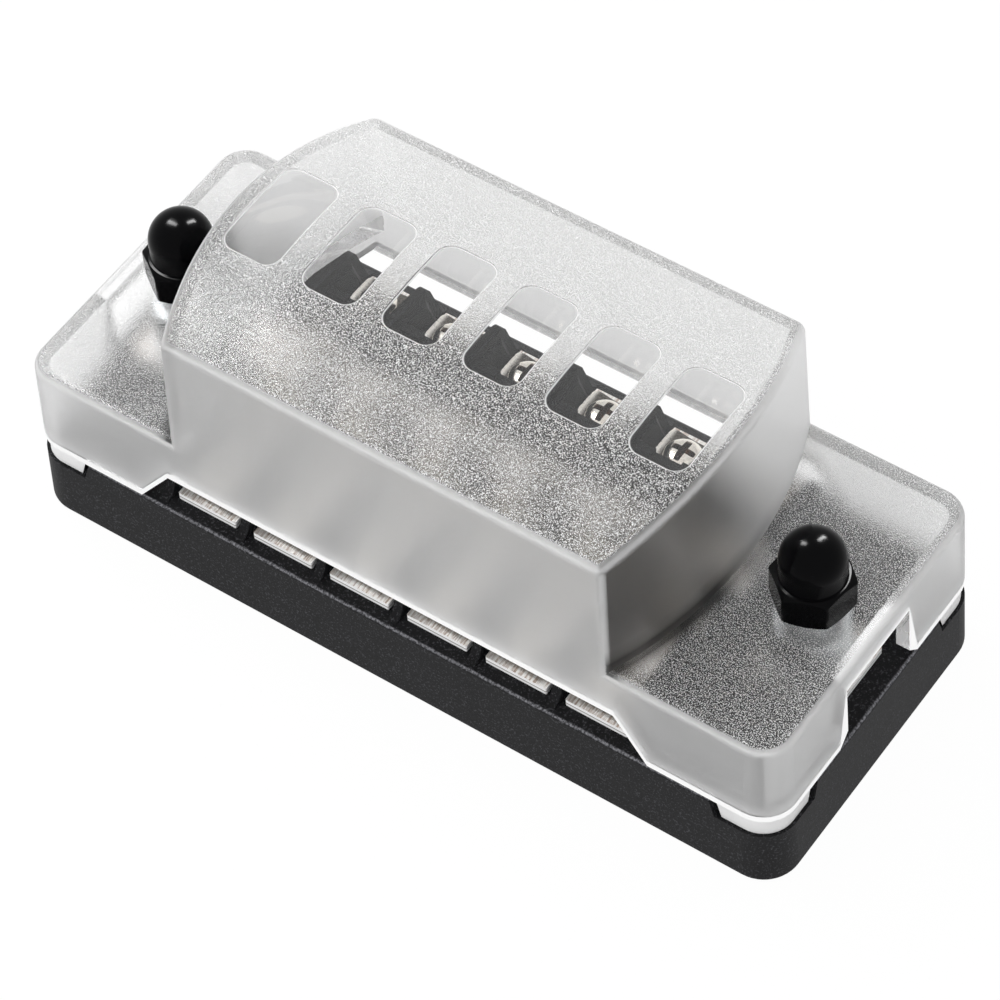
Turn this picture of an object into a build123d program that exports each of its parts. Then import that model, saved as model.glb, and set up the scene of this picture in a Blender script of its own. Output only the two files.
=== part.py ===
from build123d import *
import os
from math import cos, radians, sqrt, tan

# Six way blade fuse box: a black moulded base with two rows of screw terminals, and a frosted
# cover held down by two cap nuts. Millimetres. X runs along the box and Z up, and the origin
# is the middle of the base's underside. Front is -Y.

# Base moulding, as long as the block with a stud and its end gap beyond each end
base_width = 50.0
corner_radius = 5.3
floor_height = 13.0
draft_deg = 1.9
rim_round = 0.6
sole_round = 0.8
base_wall = 3.0
floor_thickness = 4.0
base_rib = 1.6

# Cover moulding
cover_wall = 2.0
deck_height = 27.6
crown_height = 51.5
crown_radius = 70.0
block_margin = 0.6
end_bow_radius = 58.9
block_round = 1.6
deck_round = 1.4
seat_gap = 0.1
window_length = 16.0
window_width = 8.9
window_round = 2.3
window_depth = 0.2

# Cover feet, which drop into a rebate at each corner of the base
foot_drop = 3.2
foot_step = 0.5
foot_gap = 0.3
foot_end_gap = 0.8
foot_reach = 9.7
foot_slope = 1.0

# Cable cut-outs in the cover's skirt, the side ones a little longer than the row of terminals
side_opening_margin = 1.8
side_opening_lean = 5.1
side_opening_height = 6.8
end_opening_width = 18.6
end_opening_top = 14.8
end_opening_height = 10.3
end_opening_flare = 1.9

# Circuits
circuit_count = 6
circuit_pitch = 12.45

# Dividers and barrier wall on the base, each corner as reach from the middle and rise from the floor
divider_thickness = 2.5
divider_blade = 1.4
divider_inner_reach = 9.4
divider_inner_rise = 9.2
divider_nose = (20.0, 7.9)
divider_nose_round = 1.6
divider_heel = (22.4, 0.7)
divider_heel_round = 1.5
divider_toe_reach = 23.8
divider_panel_margin = 1.3
divider_panel_slope_deg = 50.0
web_height = 4.0
web_thickness = 1.4
barrier_reach = 14.1
barrier_thickness = 1.4
barrier_height = 7.0
barrier_notch_width = 4.2
barrier_notch_depth = 0.8

# Stamped metal strip
strip_thickness = 1.2
strip_gap = 0.15
strip_corner_round = 0.2
plate_width = 9.5
plate_reach = 22.3
plate_inner_reach = 1.2
feed_bar_width = 5.6
return_spine_width = 3.2
return_spine_gap = 1.6
stud_pad = 13.0
return_arm_width = 4.0
stud_pad_gap = 0.2
collar_radius = 2.1
collar_length = 1.3
collar_gap = 0.15

# Terminal screws, M3, with their saddle shaped clamp washers
screw_reach = 17.2
screw_radius = 1.5
screw_length = 8.0
screw_head_radius = 2.85
screw_head_height = 2.4
screw_head_round = 0.8
screw_tip = 0.4
thread_gap = 0.05
recess_span = 3.4
recess_slot = 0.8
recess_depth = 1.4
recess_taper_deg = 12.0
clamp_length = 8.4
clamp_outer_reach = 21.3
clamp_inner_reach = 14.4
clamp_thickness = 0.8
clamp_rise = 0.9
clamp_corner = 0.8
clamp_hole_gap = 0.15
head_gap = 0.05
screw_well_gap = 0.4
screw_well_floor = 1.4
screw_well_wall = 1.6

# Fuse clips, each a U of spring sheet for one blade of an automotive blade fuse
blade_spacing = 9.6
clip_length = 5.4
clip_sheet = 0.6
clip_width = 4.8
clip_waist_height = 6.2
clip_mouth_height = 8.2
clip_waist_gap = 0.5
clip_mouth_gap = 2.6
clip_shoulder_height = 3.4
clip_bend = 0.8
stake_radius = 1.0
stake_gap = 0.02

# M6 studs with their washers and nuts, and the cap nuts that hold the cover
stud_block_gap = 10.3
stud_end_gap = 10.5
stud_radius = 3.0
stud_length = 30.0
stud_tip = 0.6
stud_head_flats = 10.0
stud_head_height = 4.0
stud_head_inset = 0.8
stud_head_gap = 0.15
stud_hole_gap = 0.1
stud_boss_wall = 2.4
washer_radius = 6.0
washer_thickness = 1.6
lock_washer_radius = 5.6
lock_washer_thickness = 1.6
lock_washer_slit = 0.9
lock_washer_slant_deg = 35.0
nut_flats = 10.0
nut_height = 5.2
nut_chamfer = 0.4
nut_thread_gap = 0.05
cap_nut_flats = 10.0
cap_nut_hex_height = 5.2
cap_nut_height = 12.3
cap_nut_dome_radius = 4.46
cap_nut_roof = 2.0
cap_nut_chamfer = 0.45
cap_nut_turn_right_deg = 20.0
cap_nut_turn_left_deg = 26.0
cover_hole_gap = 0.2

# Fixing holes through the base, for M4 screws from above
fixing_edge_gap = 9.0
fixing_hole_radius = 2.25
fixing_sink_radius = 4.4
fixing_sink_depth = 3.0
fixing_boss_wall = 1.7

# Heights and places that follow from the sizes above
skirt_bottom = floor_height + seat_gap
foot_bottom = skirt_bottom - foot_drop
cavity_top = floor_height - floor_thickness
strip_top = floor_height + strip_thickness
row_length = circuit_count * circuit_pitch
row_end = (row_length + divider_thickness) / 2
block_half_length = row_end + block_margin
side_opening_foot = row_end + side_opening_margin
stud_offset = block_half_length + stud_block_gap
base_length = 2 * (stud_offset + stud_end_gap)
fixing_x = base_length / 2 - fixing_edge_gap
fixing_y = base_width / 2 - fixing_edge_gap
circuit_x = [(i - (circuit_count - 1) / 2) * circuit_pitch for i in range(circuit_count)]
divider_x = [(i - circuit_count / 2) * circuit_pitch for i in range(circuit_count + 1)]
plate_row_end = circuit_x[-1] + plate_width / 2
clip_reach = blade_spacing / 2
feed_bar_y = (clip_reach - feed_bar_width / 2, clip_reach + feed_bar_width / 2)
spine_y = (feed_bar_y[1] + return_spine_gap, feed_bar_y[1] + return_spine_gap + return_spine_width)
barrier_y = (barrier_reach - barrier_thickness, barrier_reach)
saddle_radius = (clamp_length**2 / 4 + clamp_rise**2) / (2 * clamp_rise)
saddle_sag = saddle_radius - sqrt((saddle_radius - clamp_thickness)**2 - screw_head_radius**2)
screw_seat = strip_top + saddle_sag + head_gap
screw_tip_height = screw_seat - screw_length
well_floor = screw_tip_height - screw_well_gap
stud_seat = stud_head_inset + stud_head_height


def inset_at(height):
    """How far a drafted wall has leaned in at this height above the base's underside."""
    return height * tan(radians(draft_deg))


def drafted_prism(low, high, inset=0.0):
    """The box's rounded rectangle between two heights, leaning in with the mould's draft."""
    shrink = 2 * (inset + inset_at(low))
    radius = corner_radius - inset - inset_at(low)
    outline = RectangleRounded(base_length - shrink, base_width - shrink, radius)
    return extrude(Pos(0, 0, low) * outline, amount=high - low, taper=draft_deg)


def box_between(x, y, z):
    """A box given by its low and high end along each axis."""
    size = (x[1] - x[0], y[1] - y[0], z[1] - z[0])
    return Pos((x[0] + x[1]) / 2, (y[0] + y[1]) / 2, (z[0] + z[1]) / 2) * Box(*size)


def plate_from_outline(points, low, high, plane=Plane.XY):
    """A closed outline pushed along its plane's normal from one distance to another."""
    face = make_face(Polyline(*points, close=True))
    return extrude(plane.offset(low) * face, amount=high - low)


def hexagon_prism(flats, height, chamfer_top=0.0, chamfer_bottom=0.0):
    """A hexagon of the given width across flats, its corners turned off to a cone."""
    body = extrude(RegularPolygon(flats / 2, 6, major_radius=False), amount=height)
    reach = flats / 2 / cos(radians(30))
    slope = tan(radians(30))
    flank = [(0, 0), (reach - chamfer_bottom / slope, 0), (reach, chamfer_bottom)]
    flank += [(reach, height - chamfer_top), (reach - chamfer_top / slope, height), (0, height)]
    points = [flank[0]] + [p for p, q in zip(flank[1:], flank) if p != q]
    turned = revolve(Plane.XZ * make_face(Polyline(*points, close=True)), Axis.Z)
    return body & turned


def both_sides(shape):
    """The shape and its mirror image across the box's long centre plane."""
    return shape + mirror(shape, about=Plane.XZ)


def foot_zone(gap=0.0):
    """The four corner zones of the skirt, where the feet are, with sloped ends."""
    low = foot_bottom - 1
    lean = foot_slope * (skirt_bottom - low) / foot_drop
    far = base_length
    zones = []
    for half_side, plane in ((base_length / 2, Plane.XZ), (base_width / 2, Plane.YZ)):
        near = half_side - foot_reach - gap
        right = [(near, skirt_bottom), (near + lean, low), (far, low), (far, skirt_bottom)]
        left = [(-x, z) for x, z in right]
        sides = [plate_from_outline(points, -far, far, plane) for points in (right, left)]
        zones.append(sides[0] + sides[1])
    return zones[0] & zones[1]


def bowed_block(inset, low):
    """What lies between the two bowed end walls of the cover's raised block, from a height up."""
    height = crown_height + 5 - low
    radius = end_bow_radius - inset - (low - deck_height) * tan(radians(draft_deg))
    cone = Cone(radius, radius - height * tan(radians(draft_deg)), height)
    right = Pos(block_half_length - end_bow_radius, 0, low + height / 2) * cone
    return right & mirror(right, about=Plane.YZ)


def deck_form(inset):
    """The cover's lower part, up to its decks, or with an inset the hollow inside it."""
    return drafted_prism(foot_bottom, deck_height - inset, inset)


def block_form(inset):
    """The raised block, bowed at its ends and crowned along its length, or its hollow."""
    low = deck_height - inset - 2 * deck_round
    radius = crown_radius - inset
    crown = Pos(0, 0, crown_height - crown_radius) * Rot(0, 90, 0) * Cylinder(radius, base_length)
    return drafted_prism(low, crown_height + 5, inset) & crown & bowed_block(inset, low)


def edges_near(shape, test):
    """The edges whose middle point passes the test."""
    return [e for e in shape.edges() if test(e @ 0.5)]


def side_opening():
    """The cable cut-out in the front and back of the skirt, wider at its foot."""
    half_low = side_opening_foot
    half_top = half_low - side_opening_lean
    top = skirt_bottom + side_opening_height
    slope = (half_low - half_top) / side_opening_height
    low = foot_bottom - 1
    half_foot = half_low + (skirt_bottom - low) * slope
    points = [(-half_foot, low), (half_foot, low), (half_top, top), (-half_top, top)]
    return plate_from_outline(points, -base_width, base_width, Plane.XZ)


def end_opening():
    """The cable cut-out in each end of the skirt, flared where it meets the base."""
    half_low = end_opening_width / 2
    half_top = end_opening_top / 2
    top = skirt_bottom + end_opening_height
    knee = skirt_bottom + end_opening_flare
    low = foot_bottom - 1
    points = [(-half_low, low), (half_low, low), (half_low, skirt_bottom), (half_top, knee)]
    points += [(half_top, top), (-half_top, top), (-half_top, knee), (-half_low, skirt_bottom)]
    return plate_from_outline(points, -base_length, base_length, Plane.YZ)


def make_cover():
    """One shell: drafted skirt, flat decks, bowed and crowned block, windows and cut-outs."""
    deck = deck_form(0)
    deck = fillet(edges_near(deck, lambda p: p.Z > deck_height - 0.01), deck_round)
    block = block_form(0)
    block = fillet(edges_near(block, lambda p: p.Z > deck_height), block_round)
    body = deck + block
    body -= deck_form(cover_wall) + block_form(cover_wall)
    far = (-base_length, base_length)
    body -= box_between(far, far, (foot_bottom - 1, skirt_bottom)) - foot_zone()
    rebate = drafted_prism(foot_bottom, skirt_bottom)
    body -= rebate - drafted_prism(foot_bottom, skirt_bottom, foot_step)
    body -= side_opening() + end_opening()
    skin = Pos(0, 0, crown_height - crown_radius) * Rot(0, 90, 0)
    skin = skin * Cylinder(crown_radius - window_depth, 2 * base_length)
    for x in circuit_x:
        outline = RectangleRounded(window_width, window_length, window_round)
        body -= extrude(Pos(x, 0, deck_height) * outline, amount=crown_height) - skin
    for side in (-1, 1):
        body -= Pos(side * stud_offset, 0, deck_height) * Cylinder(stud_radius + cover_hole_gap, 4 * cover_wall)
    return body


def half_divider():
    """One divider on the back half: a thin blade with a raised panel on each of its faces."""
    low = floor_height - divider_panel_margin - 1
    corners = [(divider_inner_reach, low), (divider_inner_reach, floor_height + divider_inner_rise)]
    corners += [(y, floor_height + z) for y, z in (divider_nose, divider_heel)]
    corners += [(divider_toe_reach, floor_height), (divider_toe_reach, low)]
    outline = make_face(Polyline(*corners, close=True))
    nose, heel = (Vector(*corners[i]) for i in (2, 3))
    outline = fillet(outline.vertices().sort_by_distance(nose)[0], divider_nose_round)
    outline = fillet(outline.vertices().sort_by_distance(heel)[0], divider_heel_round)
    blade = extrude(Plane.YZ * outline, amount=divider_blade / 2, both=True)
    panel = offset(outline, amount=-divider_panel_margin)
    rise = (divider_thickness - divider_blade) / 2
    panel = extrude(Plane.YZ.offset(divider_blade / 2) * panel, amount=rise,
                    taper=divider_panel_slope_deg)
    return blade + panel + mirror(panel, about=Plane.YZ)


def divider_rows():
    """The seven dividers, the low webs between the front clips, and the barrier wall."""
    pair = both_sides(half_divider())
    rows = sum([Pos(x, 0, 0) * pair for x in divider_x], Part())
    low = floor_height - 1
    web_top = floor_height + web_height
    half = web_thickness / 2
    for x in divider_x:
        rows += box_between((x - half, x + half), (-divider_inner_reach - 1, 0), (low, web_top))
    rows += box_between((-row_end, row_end), (0, web_thickness), (low, web_top))
    wall_low = strip_top + strip_gap
    wall_top = floor_height + barrier_height
    rows += box_between((-row_end, row_end), barrier_y, (wall_low, wall_top))
    for x in circuit_x:
        notch = (x - barrier_notch_width / 2, x + barrier_notch_width / 2)
        rows -= box_between(notch, barrier_y, (wall_top - barrier_notch_depth, wall_top))
    slot_y = (divider_inner_reach - 1, spine_y[1] + strip_gap)
    slot_x = (-plate_row_end - strip_gap, row_end + 1)
    return rows - box_between(slot_x, slot_y, (floor_height, strip_top + strip_gap))


def underside_hollow():
    """The space under the floor, less its ribs and the bosses round the holes."""
    hollow = drafted_prism(-1, cavity_top, base_wall)
    kept = box_between((-base_length, base_length), (-base_rib / 2, base_rib / 2), (0, floor_height))
    for x in divider_x:
        kept += box_between((x - base_rib / 2, x + base_rib / 2), (-base_width, base_width),
                            (0, floor_height))
    well_radius = screw_radius + screw_well_gap + screw_well_wall
    for x, y in terminal_points():
        kept += upright_cylinder(x, y, well_radius, well_floor - screw_well_floor, floor_height)
    stud_boss = stud_head_flats / 2 / cos(radians(30)) + stud_head_gap + stud_boss_wall
    for x in (-stud_offset, stud_offset):
        kept += upright_cylinder(x, 0, stud_boss, 0, floor_height)
    for x, y in fixing_points():
        kept += upright_cylinder(x, y, fixing_sink_radius + fixing_boss_wall, 0, floor_height)
    return hollow - kept


def upright_cylinder(x, y, radius, low, high):
    """A cylinder standing at x, y between two heights."""
    return Pos(x, y, (low + high) / 2) * Cylinder(radius, high - low)


def terminal_points():
    """Where the terminal screws stand, front row then back row."""
    return [(x, y) for y in (-screw_reach, screw_reach) for x in circuit_x]


def fixing_points():
    """Where the fixing holes are."""
    return [(x, y) for x in (-fixing_x, fixing_x) for y in (-fixing_y, fixing_y)]


def make_base():
    """The black moulding: drafted tray turned upside down, dividers, wells and holes."""
    body = drafted_prism(0, floor_height)
    body = fillet(edges_near(body, lambda p: p.Z > floor_height - 0.01), rim_round)
    body = fillet(edges_near(body, lambda p: p.Z < 0.01), sole_round)
    notch = drafted_prism(foot_bottom, floor_height + 1, -1)
    notch -= drafted_prism(foot_bottom, floor_height + 1, cover_wall + foot_gap)
    far = (-base_length, base_length)
    zone = foot_zone(foot_end_gap) & box_between(far, far, (foot_bottom, skirt_bottom))
    body -= notch & zone
    body += divider_rows()
    body -= underside_hollow()
    for x, y in terminal_points():
        collar_low = floor_height - collar_length - collar_gap
        body -= upright_cylinder(x, y, collar_radius + collar_gap, collar_low, floor_height)
        body -= upright_cylinder(x, y, screw_radius + screw_well_gap, well_floor, floor_height)
    pocket = hexagon_prism(stud_head_flats + 2 * stud_head_gap, stud_seat)
    for x in (-stud_offset, stud_offset):
        body -= Pos(x, 0, 0) * pocket
        body -= upright_cylinder(x, 0, stud_radius + stud_hole_gap, 0, floor_height)
    for x, y in fixing_points():
        body -= upright_cylinder(x, y, fixing_hole_radius, 0, floor_height)
        sink_low = floor_height - fixing_sink_depth
        body -= upright_cylinder(x, y, fixing_sink_radius, sink_low, floor_height)
    return body


def strip_blank(pieces):
    """Flat strip on the base's floor, given as rectangles of x and y that join, corners eased."""
    blank = sum([box_between(x, y, (floor_height, strip_top)) for x, y in pieces], Part())
    return fillet(blank.edges().filter_by(Axis.Z), strip_corner_round)


def tapped_hole(strip, x, y):
    """The strip with a threaded hole, its collar drawn out below for more thread."""
    collar_low = floor_height - collar_length
    strip += upright_cylinder(x, y, collar_radius, collar_low, strip_top)
    return strip - upright_cylinder(x, y, screw_radius + thread_gap, collar_low, strip_top)


def make_output_plate(x):
    """A front terminal plate: threaded for its screw and pierced for its clip's stake."""
    sides = (x - plate_width / 2, x + plate_width / 2)
    plate = strip_blank([(sides, (-plate_reach, -plate_inner_reach))])
    plate = tapped_hole(plate, x, -screw_reach)
    return plate - upright_cylinder(x, -clip_reach, stake_radius + stake_gap, floor_height, strip_top)


def stud_pad_sides(x):
    """The sides of the square pad round a stud, along X and along Y."""
    return (x - stud_pad / 2, x + stud_pad / 2), (-stud_pad / 2, stud_pad / 2)


def make_positive_bus_bar():
    """The feed bar: a pad round the left stud and a strip under the six feed clips."""
    pad = stud_pad_sides(-stud_offset)
    bar = strip_blank([pad, ((pad[0][0], plate_row_end), feed_bar_y)])
    bar -= upright_cylinder(-stud_offset, 0, stud_radius + stud_pad_gap, floor_height, strip_top)
    for x in circuit_x:
        bar -= upright_cylinder(x, clip_reach, stake_radius + stake_gap, floor_height, strip_top)
    return bar


def make_negative_bus_bar():
    """The return comb: six tongues for the back screws, a spine, and a pad round the right stud."""
    pad = stud_pad_sides(stud_offset)
    arm = (pad[0][0], pad[0][0] + return_arm_width)
    pieces = [pad, (arm, (0, spine_y[1])), ((-plate_row_end, arm[1]), spine_y)]
    for x in circuit_x:
        pieces.append(((x - plate_width / 2, x + plate_width / 2), (spine_y[0], plate_reach)))
    bar = strip_blank(pieces)
    bar -= upright_cylinder(stud_offset, 0, stud_radius + stud_pad_gap, floor_height, strip_top)
    for x in circuit_x:
        bar = tapped_hole(bar, x, screw_reach)
    return bar


def make_fuse_clip():
    """A spring clip on its strip, pinched at the waist and open at the mouth, staked through."""
    outer = clip_width / 2
    foot = clip_sheet / 2
    waist = (clip_waist_gap + clip_sheet) / 2
    mouth = (clip_mouth_gap + clip_sheet) / 2
    side = [(outer - foot, foot), (outer - foot, clip_shoulder_height)]
    side += [(waist, clip_waist_height), (mouth, clip_mouth_height)]
    path = [(-x, z) for x, z in reversed(side)] + side
    centre_line = FilletPolyline(*path, radius=clip_bend)
    profile = trace(centre_line, clip_sheet)
    clip = extrude(Plane.XZ * profile, amount=clip_length / 2, both=True)
    stake = upright_cylinder(0, 0, stake_radius, -strip_thickness, foot)
    return Pos(0, 0, strip_top) * (clip + stake)


def make_clamp():
    """A saddle washer at the origin: low in the middle, with its long side bent up."""
    outer = Cylinder(saddle_radius, clamp_outer_reach - clamp_inner_reach)
    inner = Cylinder(saddle_radius - clamp_thickness, clamp_outer_reach)
    middle = (clamp_outer_reach + clamp_inner_reach) / 2 - screw_reach
    axis = Pos(0, middle, strip_top + saddle_radius) * Rot(90, 0, 0)
    half = clamp_length / 2
    reach_y = (-clamp_outer_reach, clamp_outer_reach)
    body = axis * (outer - inner)
    body &= box_between((-half, half), reach_y, (strip_top - 1, strip_top + 2 * clamp_rise + 1))
    body -= upright_cylinder(0, 0, screw_radius + clamp_hole_gap, strip_top - 1, strip_top + 3)
    corners = body.edges().filter_by(lambda e: abs((e @ 0.5).X) > half - 0.1 and e.length < 1.2)
    return fillet(corners, clamp_corner)


def make_screw():
    """A pan head screw at the origin, with a tapered cross recess."""
    head_top = screw_seat + screw_head_height
    shank = upright_cylinder(0, 0, screw_radius, screw_tip_height, screw_seat)
    shank = chamfer(edges_near(shank, lambda p: p.Z < screw_tip_height + 0.01), screw_tip)
    head = upright_cylinder(0, 0, screw_head_radius, screw_seat, head_top)
    head = fillet(edges_near(head, lambda p: p.Z > head_top - 0.01), screw_head_round)
    cross = Rectangle(recess_span, recess_slot) + Rectangle(recess_slot, recess_span)
    recess = extrude(Pos(0, 0, head_top) * cross, amount=-recess_depth, taper=recess_taper_deg)
    return shank + head - recess


def make_stud():
    """A hexagon head bolt at the origin, its head in the pocket under the base."""
    head = Pos(0, 0, stud_head_inset) * hexagon_prism(stud_head_flats, stud_head_height)
    top = stud_seat + stud_length
    shank = upright_cylinder(0, 0, stud_radius, stud_seat - 1, top)
    shank = chamfer(edges_near(shank, lambda p: p.Z > top - 0.01), stud_tip)
    return head + shank


def make_washer():
    """The flat washer on a bar's pad, at the origin."""
    top = strip_top + washer_thickness
    ring = upright_cylinder(0, 0, washer_radius, strip_top, top)
    return ring - upright_cylinder(0, 0, stud_radius + stud_pad_gap, strip_top, top)


def make_lock_washer():
    """The split spring washer, closed flat under its nut, with a slanted slit."""
    low = strip_top + washer_thickness
    top = low + lock_washer_thickness
    ring = upright_cylinder(0, 0, lock_washer_radius, low, top)
    ring -= upright_cylinder(0, 0, stud_radius + stud_pad_gap, low, top)
    slit = Box(lock_washer_slit, washer_radius, 4 * lock_washer_thickness)
    slit = Pos(0, washer_radius / 2 + 1, (low + top) / 2) * Rot(0, lock_washer_slant_deg, 0) * slit
    return ring - slit


def make_stud_nut():
    """The hexagon nut over the washers, at the origin."""
    low = strip_top + washer_thickness + lock_washer_thickness
    nut = hexagon_prism(nut_flats, nut_height, nut_chamfer, nut_chamfer)
    nut -= upright_cylinder(0, 0, stud_radius + nut_thread_gap, 0, nut_height)
    return Pos(0, 0, low) * nut


def make_cap_nut(turn_deg):
    """A domed cap nut on the cover's deck, at the origin, turned to where it was tightened."""
    nut = hexagon_prism(cap_nut_flats, cap_nut_hex_height, cap_nut_chamfer, cap_nut_chamfer)
    dome_centre = cap_nut_height - cap_nut_dome_radius
    nut += upright_cylinder(0, 0, cap_nut_dome_radius, 1, dome_centre)
    nut += Pos(0, 0, dome_centre) * Sphere(cap_nut_dome_radius)
    bore = upright_cylinder(0, 0, stud_radius + nut_thread_gap, 0, cap_nut_height - cap_nut_roof)
    return Pos(0, 0, deck_height) * Rot(0, 0, turn_deg) * (nut - bore)


parts = {
    "base": make_base(),
    "cover": make_cover(),
    "positive_bus_bar": make_positive_bus_bar(),
    "negative_bus_bar": make_negative_bus_bar(),
    "cap_nut_left": Pos(-stud_offset, 0, 0) * make_cap_nut(cap_nut_turn_left_deg),
    "cap_nut_right": Pos(stud_offset, 0, 0) * make_cap_nut(cap_nut_turn_right_deg),
}
for side, x in (("left", -stud_offset), ("right", stud_offset)):
    parts[f"stud_{side}"] = Pos(x, 0, 0) * make_stud()
    parts[f"stud_washer_{side}"] = Pos(x, 0, 0) * make_washer()
    parts[f"lock_washer_{side}"] = Pos(x, 0, 0) * make_lock_washer()
    parts[f"stud_nut_{side}"] = Pos(x, 0, 0) * make_stud_nut()
for number, x in enumerate(circuit_x, 1):
    parts[f"output_plate_{number}"] = make_output_plate(x)
    parts[f"fuse_clip_out_{number}"] = Pos(x, -clip_reach, 0) * make_fuse_clip()
    parts[f"fuse_clip_feed_{number}"] = Pos(x, clip_reach, 0) * make_fuse_clip()
    parts[f"output_clamp_{number}"] = Pos(x, -screw_reach, 0) * Rot(0, 0, 180) * make_clamp()
    parts[f"negative_clamp_{number}"] = Pos(x, screw_reach, 0) * make_clamp()
    parts[f"output_screw_{number}"] = Pos(x, -screw_reach, 0) * make_screw()
    parts[f"negative_screw_{number}"] = Pos(x, screw_reach, 0) * make_screw()

os.makedirs("parts", exist_ok=True)
for name, shape in parts.items():
    export_step(shape, f"parts/{name}.step")
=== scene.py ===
import math

import bpy
import numpy as np
from mathutils import Matrix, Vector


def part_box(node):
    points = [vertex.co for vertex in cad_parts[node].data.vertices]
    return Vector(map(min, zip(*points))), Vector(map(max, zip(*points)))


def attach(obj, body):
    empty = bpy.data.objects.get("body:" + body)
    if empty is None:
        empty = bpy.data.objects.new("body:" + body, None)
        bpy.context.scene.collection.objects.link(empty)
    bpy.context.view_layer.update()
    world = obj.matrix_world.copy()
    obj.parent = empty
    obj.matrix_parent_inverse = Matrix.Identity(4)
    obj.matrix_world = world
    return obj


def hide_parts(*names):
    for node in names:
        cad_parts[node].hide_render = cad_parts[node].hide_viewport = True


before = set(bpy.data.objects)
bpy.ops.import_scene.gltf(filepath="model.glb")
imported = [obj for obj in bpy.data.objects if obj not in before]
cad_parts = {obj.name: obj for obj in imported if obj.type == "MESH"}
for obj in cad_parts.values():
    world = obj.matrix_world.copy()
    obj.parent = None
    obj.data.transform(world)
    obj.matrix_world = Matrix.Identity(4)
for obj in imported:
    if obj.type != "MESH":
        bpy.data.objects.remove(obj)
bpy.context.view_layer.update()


# Base: one black moulding with the dividers and the barrier wall on it. It is a mineral filled
# nylon from a spark eroded mould, so its skin is finely pitted, dark and quite matt. A painted
# highlight runs along its outer rim, where its rounded edge would catch the light.

def linear(hex_colour):
    """An sRGB hex colour as linear red, green, blue and alpha: c/12.92 below 0.04045, and
    ((c + 0.055) / 1.055) to the power 2.4 above it."""
    c = np.array([int(hex_colour[i:i + 2], 16) for i in (1, 3, 5)]) / 255
    c = np.where(c <= 0.04045, c / 12.92, ((c + 0.055) / 1.055) ** 2.4)
    return (*c.tolist(), 1.0)


def add(material, kind, sockets=None, **settings):
    """Adds one shader node: settings are its properties, and sockets are its inputs by name or
    number, each a plain value or another node's output to link from."""
    tree = material.node_tree
    node = tree.nodes.new("ShaderNode" + kind)
    for key, value in settings.items():
        setattr(node, key, value)
    for key, value in (sockets or {}).items():
        if isinstance(value, bpy.types.NodeSocket):
            tree.links.new(value, node.inputs[key])
        else:
            node.inputs[key].default_value = value
    return node


def new_material(name):
    """A named material with nothing in it but its output node."""
    material = bpy.data.materials.new(name)
    material.use_nodes = True
    material.node_tree.nodes.clear()
    return material, add(material, "OutputMaterial")


def millimetres(material, stretch=(1, 1, 1)):
    """The object's own coordinates, counted in millimetres, so a noise Scale is a number of grains
    to the millimetre."""
    place = add(material, "TexCoord").outputs["Object"]
    scale = tuple(1000 * s for s in stretch)
    return add(material, "Mapping", {"Vector": place, "Scale": scale}).outputs[0]


def finish_node(node_name, material):
    """Gives a CAD node this material in its first slot."""
    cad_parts[node_name].material_slots[0].material = material


black_nylon, out = new_material("black_nylon_spark_eroded")
mm = millimetres(black_nylon)

# The real pits are about 0.1 mm across. They are drawn at 0.3 mm, so that they show.
pits = add(black_nylon, "TexNoise", {"Vector": mm, "Scale": 3.2, "Detail": 3.0, "Roughness": 0.65})
drift = add(black_nylon, "TexNoise", {"Vector": mm, "Scale": 0.12, "Detail": 2.0})
shade = add(black_nylon, "MixRGB", {0: drift.outputs["Fac"], 1: linear("#111112"),
                                    2: linear("#171719")})
# Painted glints: pale specks where the pit noise runs high.
glint = add(black_nylon, "MapRange", {"Value": pits.outputs["Fac"], "From Min": 0.54,
                                      "From Max": 0.66})
shade = add(black_nylon, "MixRGB", {0: glint.outputs[0], 1: shade.outputs[0],
                                    2: linear("#3C3C3F")})

# The rim's painted highlight: faces between steep and level, beyond this reach in x or y.
rim_reach = 58.6, 24.0
facing = add(black_nylon, "SeparateXYZ", {0: add(black_nylon, "TexCoord").outputs["Normal"]})
level = add(black_nylon, "Math", {0: facing.outputs["Z"]}, operation="ABSOLUTE")
bend_in = add(black_nylon, "MapRange", {"Value": level.outputs[0], "From Min": 0.3,
                                        "From Max": 0.6})
bend_out = add(black_nylon, "MapRange", {"Value": level.outputs[0], "From Min": 0.8,
                                         "From Max": 0.97, "To Min": 1.0, "To Max": 0.0})
bend = add(black_nylon, "Math", {0: bend_in.outputs[0], 1: bend_out.outputs[0]},
           operation="MULTIPLY")
share = add(black_nylon, "VectorMath", {0: mm, 1: (1 / rim_reach[0], 1 / rim_reach[1], 0.0)},
            operation="MULTIPLY")
share = add(black_nylon, "VectorMath", {0: share.outputs[0]}, operation="ABSOLUTE")
share = add(black_nylon, "SeparateXYZ", {0: share.outputs[0]})
brink = add(black_nylon, "Math", {0: share.outputs["X"], 1: share.outputs["Y"]},
            operation="MAXIMUM")
brink = add(black_nylon, "Math", {0: brink.outputs[0], 1: 1.0}, operation="GREATER_THAN")
bend = add(black_nylon, "Math", {0: bend.outputs[0], 1: brink.outputs[0]}, operation="MULTIPLY")
painted_edge_highlight = add(black_nylon, "MapRange", {"Value": pits.outputs["Fac"], "From Min": 0.4,
                                    "From Max": 0.6, "To Min": 0.1, "To Max": 0.8})
painted_edge_highlight = add(black_nylon, "Math", {0: painted_edge_highlight.outputs[0], 1: bend.outputs[0]}, operation="MULTIPLY")
shade = add(black_nylon, "MixRGB", {0: painted_edge_highlight.outputs[0], 1: shade.outputs[0],
                                    2: linear("#85858A")})
sheen = add(black_nylon, "MapRange", {"Value": pits.outputs["Fac"], "From Min": 0.3,
                                      "From Max": 0.7, "To Min": 0.48, "To Max": 0.66})
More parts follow.
